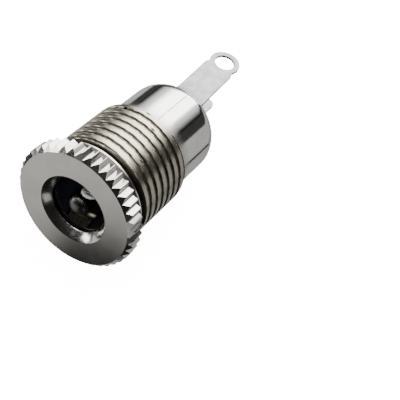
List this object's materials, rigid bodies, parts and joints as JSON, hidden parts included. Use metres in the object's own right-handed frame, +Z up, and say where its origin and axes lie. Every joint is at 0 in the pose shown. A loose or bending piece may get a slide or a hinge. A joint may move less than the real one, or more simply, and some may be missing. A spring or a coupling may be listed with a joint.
{
  "type": "dc barrel jack",
  "caption": "Panel-mount DC power jack: serrated flange, threaded metal shell, centre pin in an open mouth, solder lugs at the rear.",
  "frame": {"origin": "on the jack's axis, in the rear face of the flange, which seats on the panel", "axes": "+Y along the axis from the mouth to the solder lugs, +Z up, across the flat faces of the lugs, with the sleeve lug on the +Z side"},
  "size_m": [0.0128, 0.0272, 0.0128],
  "materials": {
    "nickel_shell": "nickel plate, satin face and polished body",
    "black_moulding": "moulded",
    "nickel_pin": "nickel plate, slightly tarnished",
    "spring_bronze": "bright spring bronze",
    "tinned_lug": "tinned, slightly dull",
    "insulating_washer": "laminated sheet"
  },
  "bodies": {
    "root": {"barrel": "nickel_shell", "contact_housing": "black_moulding", "centre_pin": "nickel_pin", "contact_spring": "spring_bronze", "sleeve_lug": "tinned_lug", "rear_washer": "insulating_washer", "pin_lug": "tinned_lug"}
  },
  "joints": []
}
